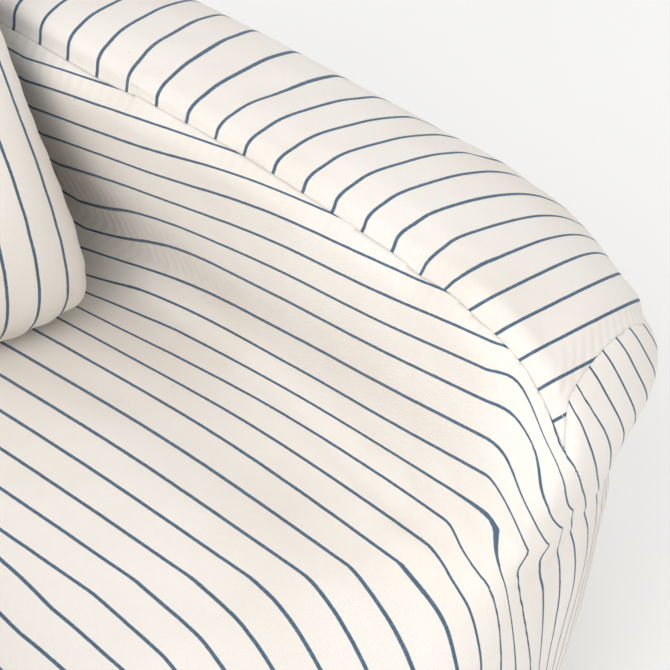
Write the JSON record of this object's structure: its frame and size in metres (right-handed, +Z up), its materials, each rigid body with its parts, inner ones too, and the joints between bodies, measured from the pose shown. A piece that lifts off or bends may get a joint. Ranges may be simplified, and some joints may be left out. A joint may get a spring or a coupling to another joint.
{
  "type": "pouf armchair",
  "caption": "Low bean-filled armchair of thin-striped canvas with cross-striped arms, a rounded back, a flat base and a loose back cushion.",
  "frame": {"origin": "on the floor, under the middle of the chair's box", "axes": "+Z up; the sitter faces -Y; +X is to the right of someone who stands in front and faces the chair"},
  "size_m": [0.9328, 0.7784, 0.639],
  "materials": {
    "striped_canvas": "matt cream cotton canvas with thin slate blue woven stripes",
    "base_cloth": "matt plain cream canvas"
  },
  "bodies": {
    "root": {"base": "base_cloth", "seat": "striped_canvas", "arm_right": "striped_canvas", "arm_left": "striped_canvas", "back": "striped_canvas", "cushion": "striped_canvas"}
  },
  "joints": []
}
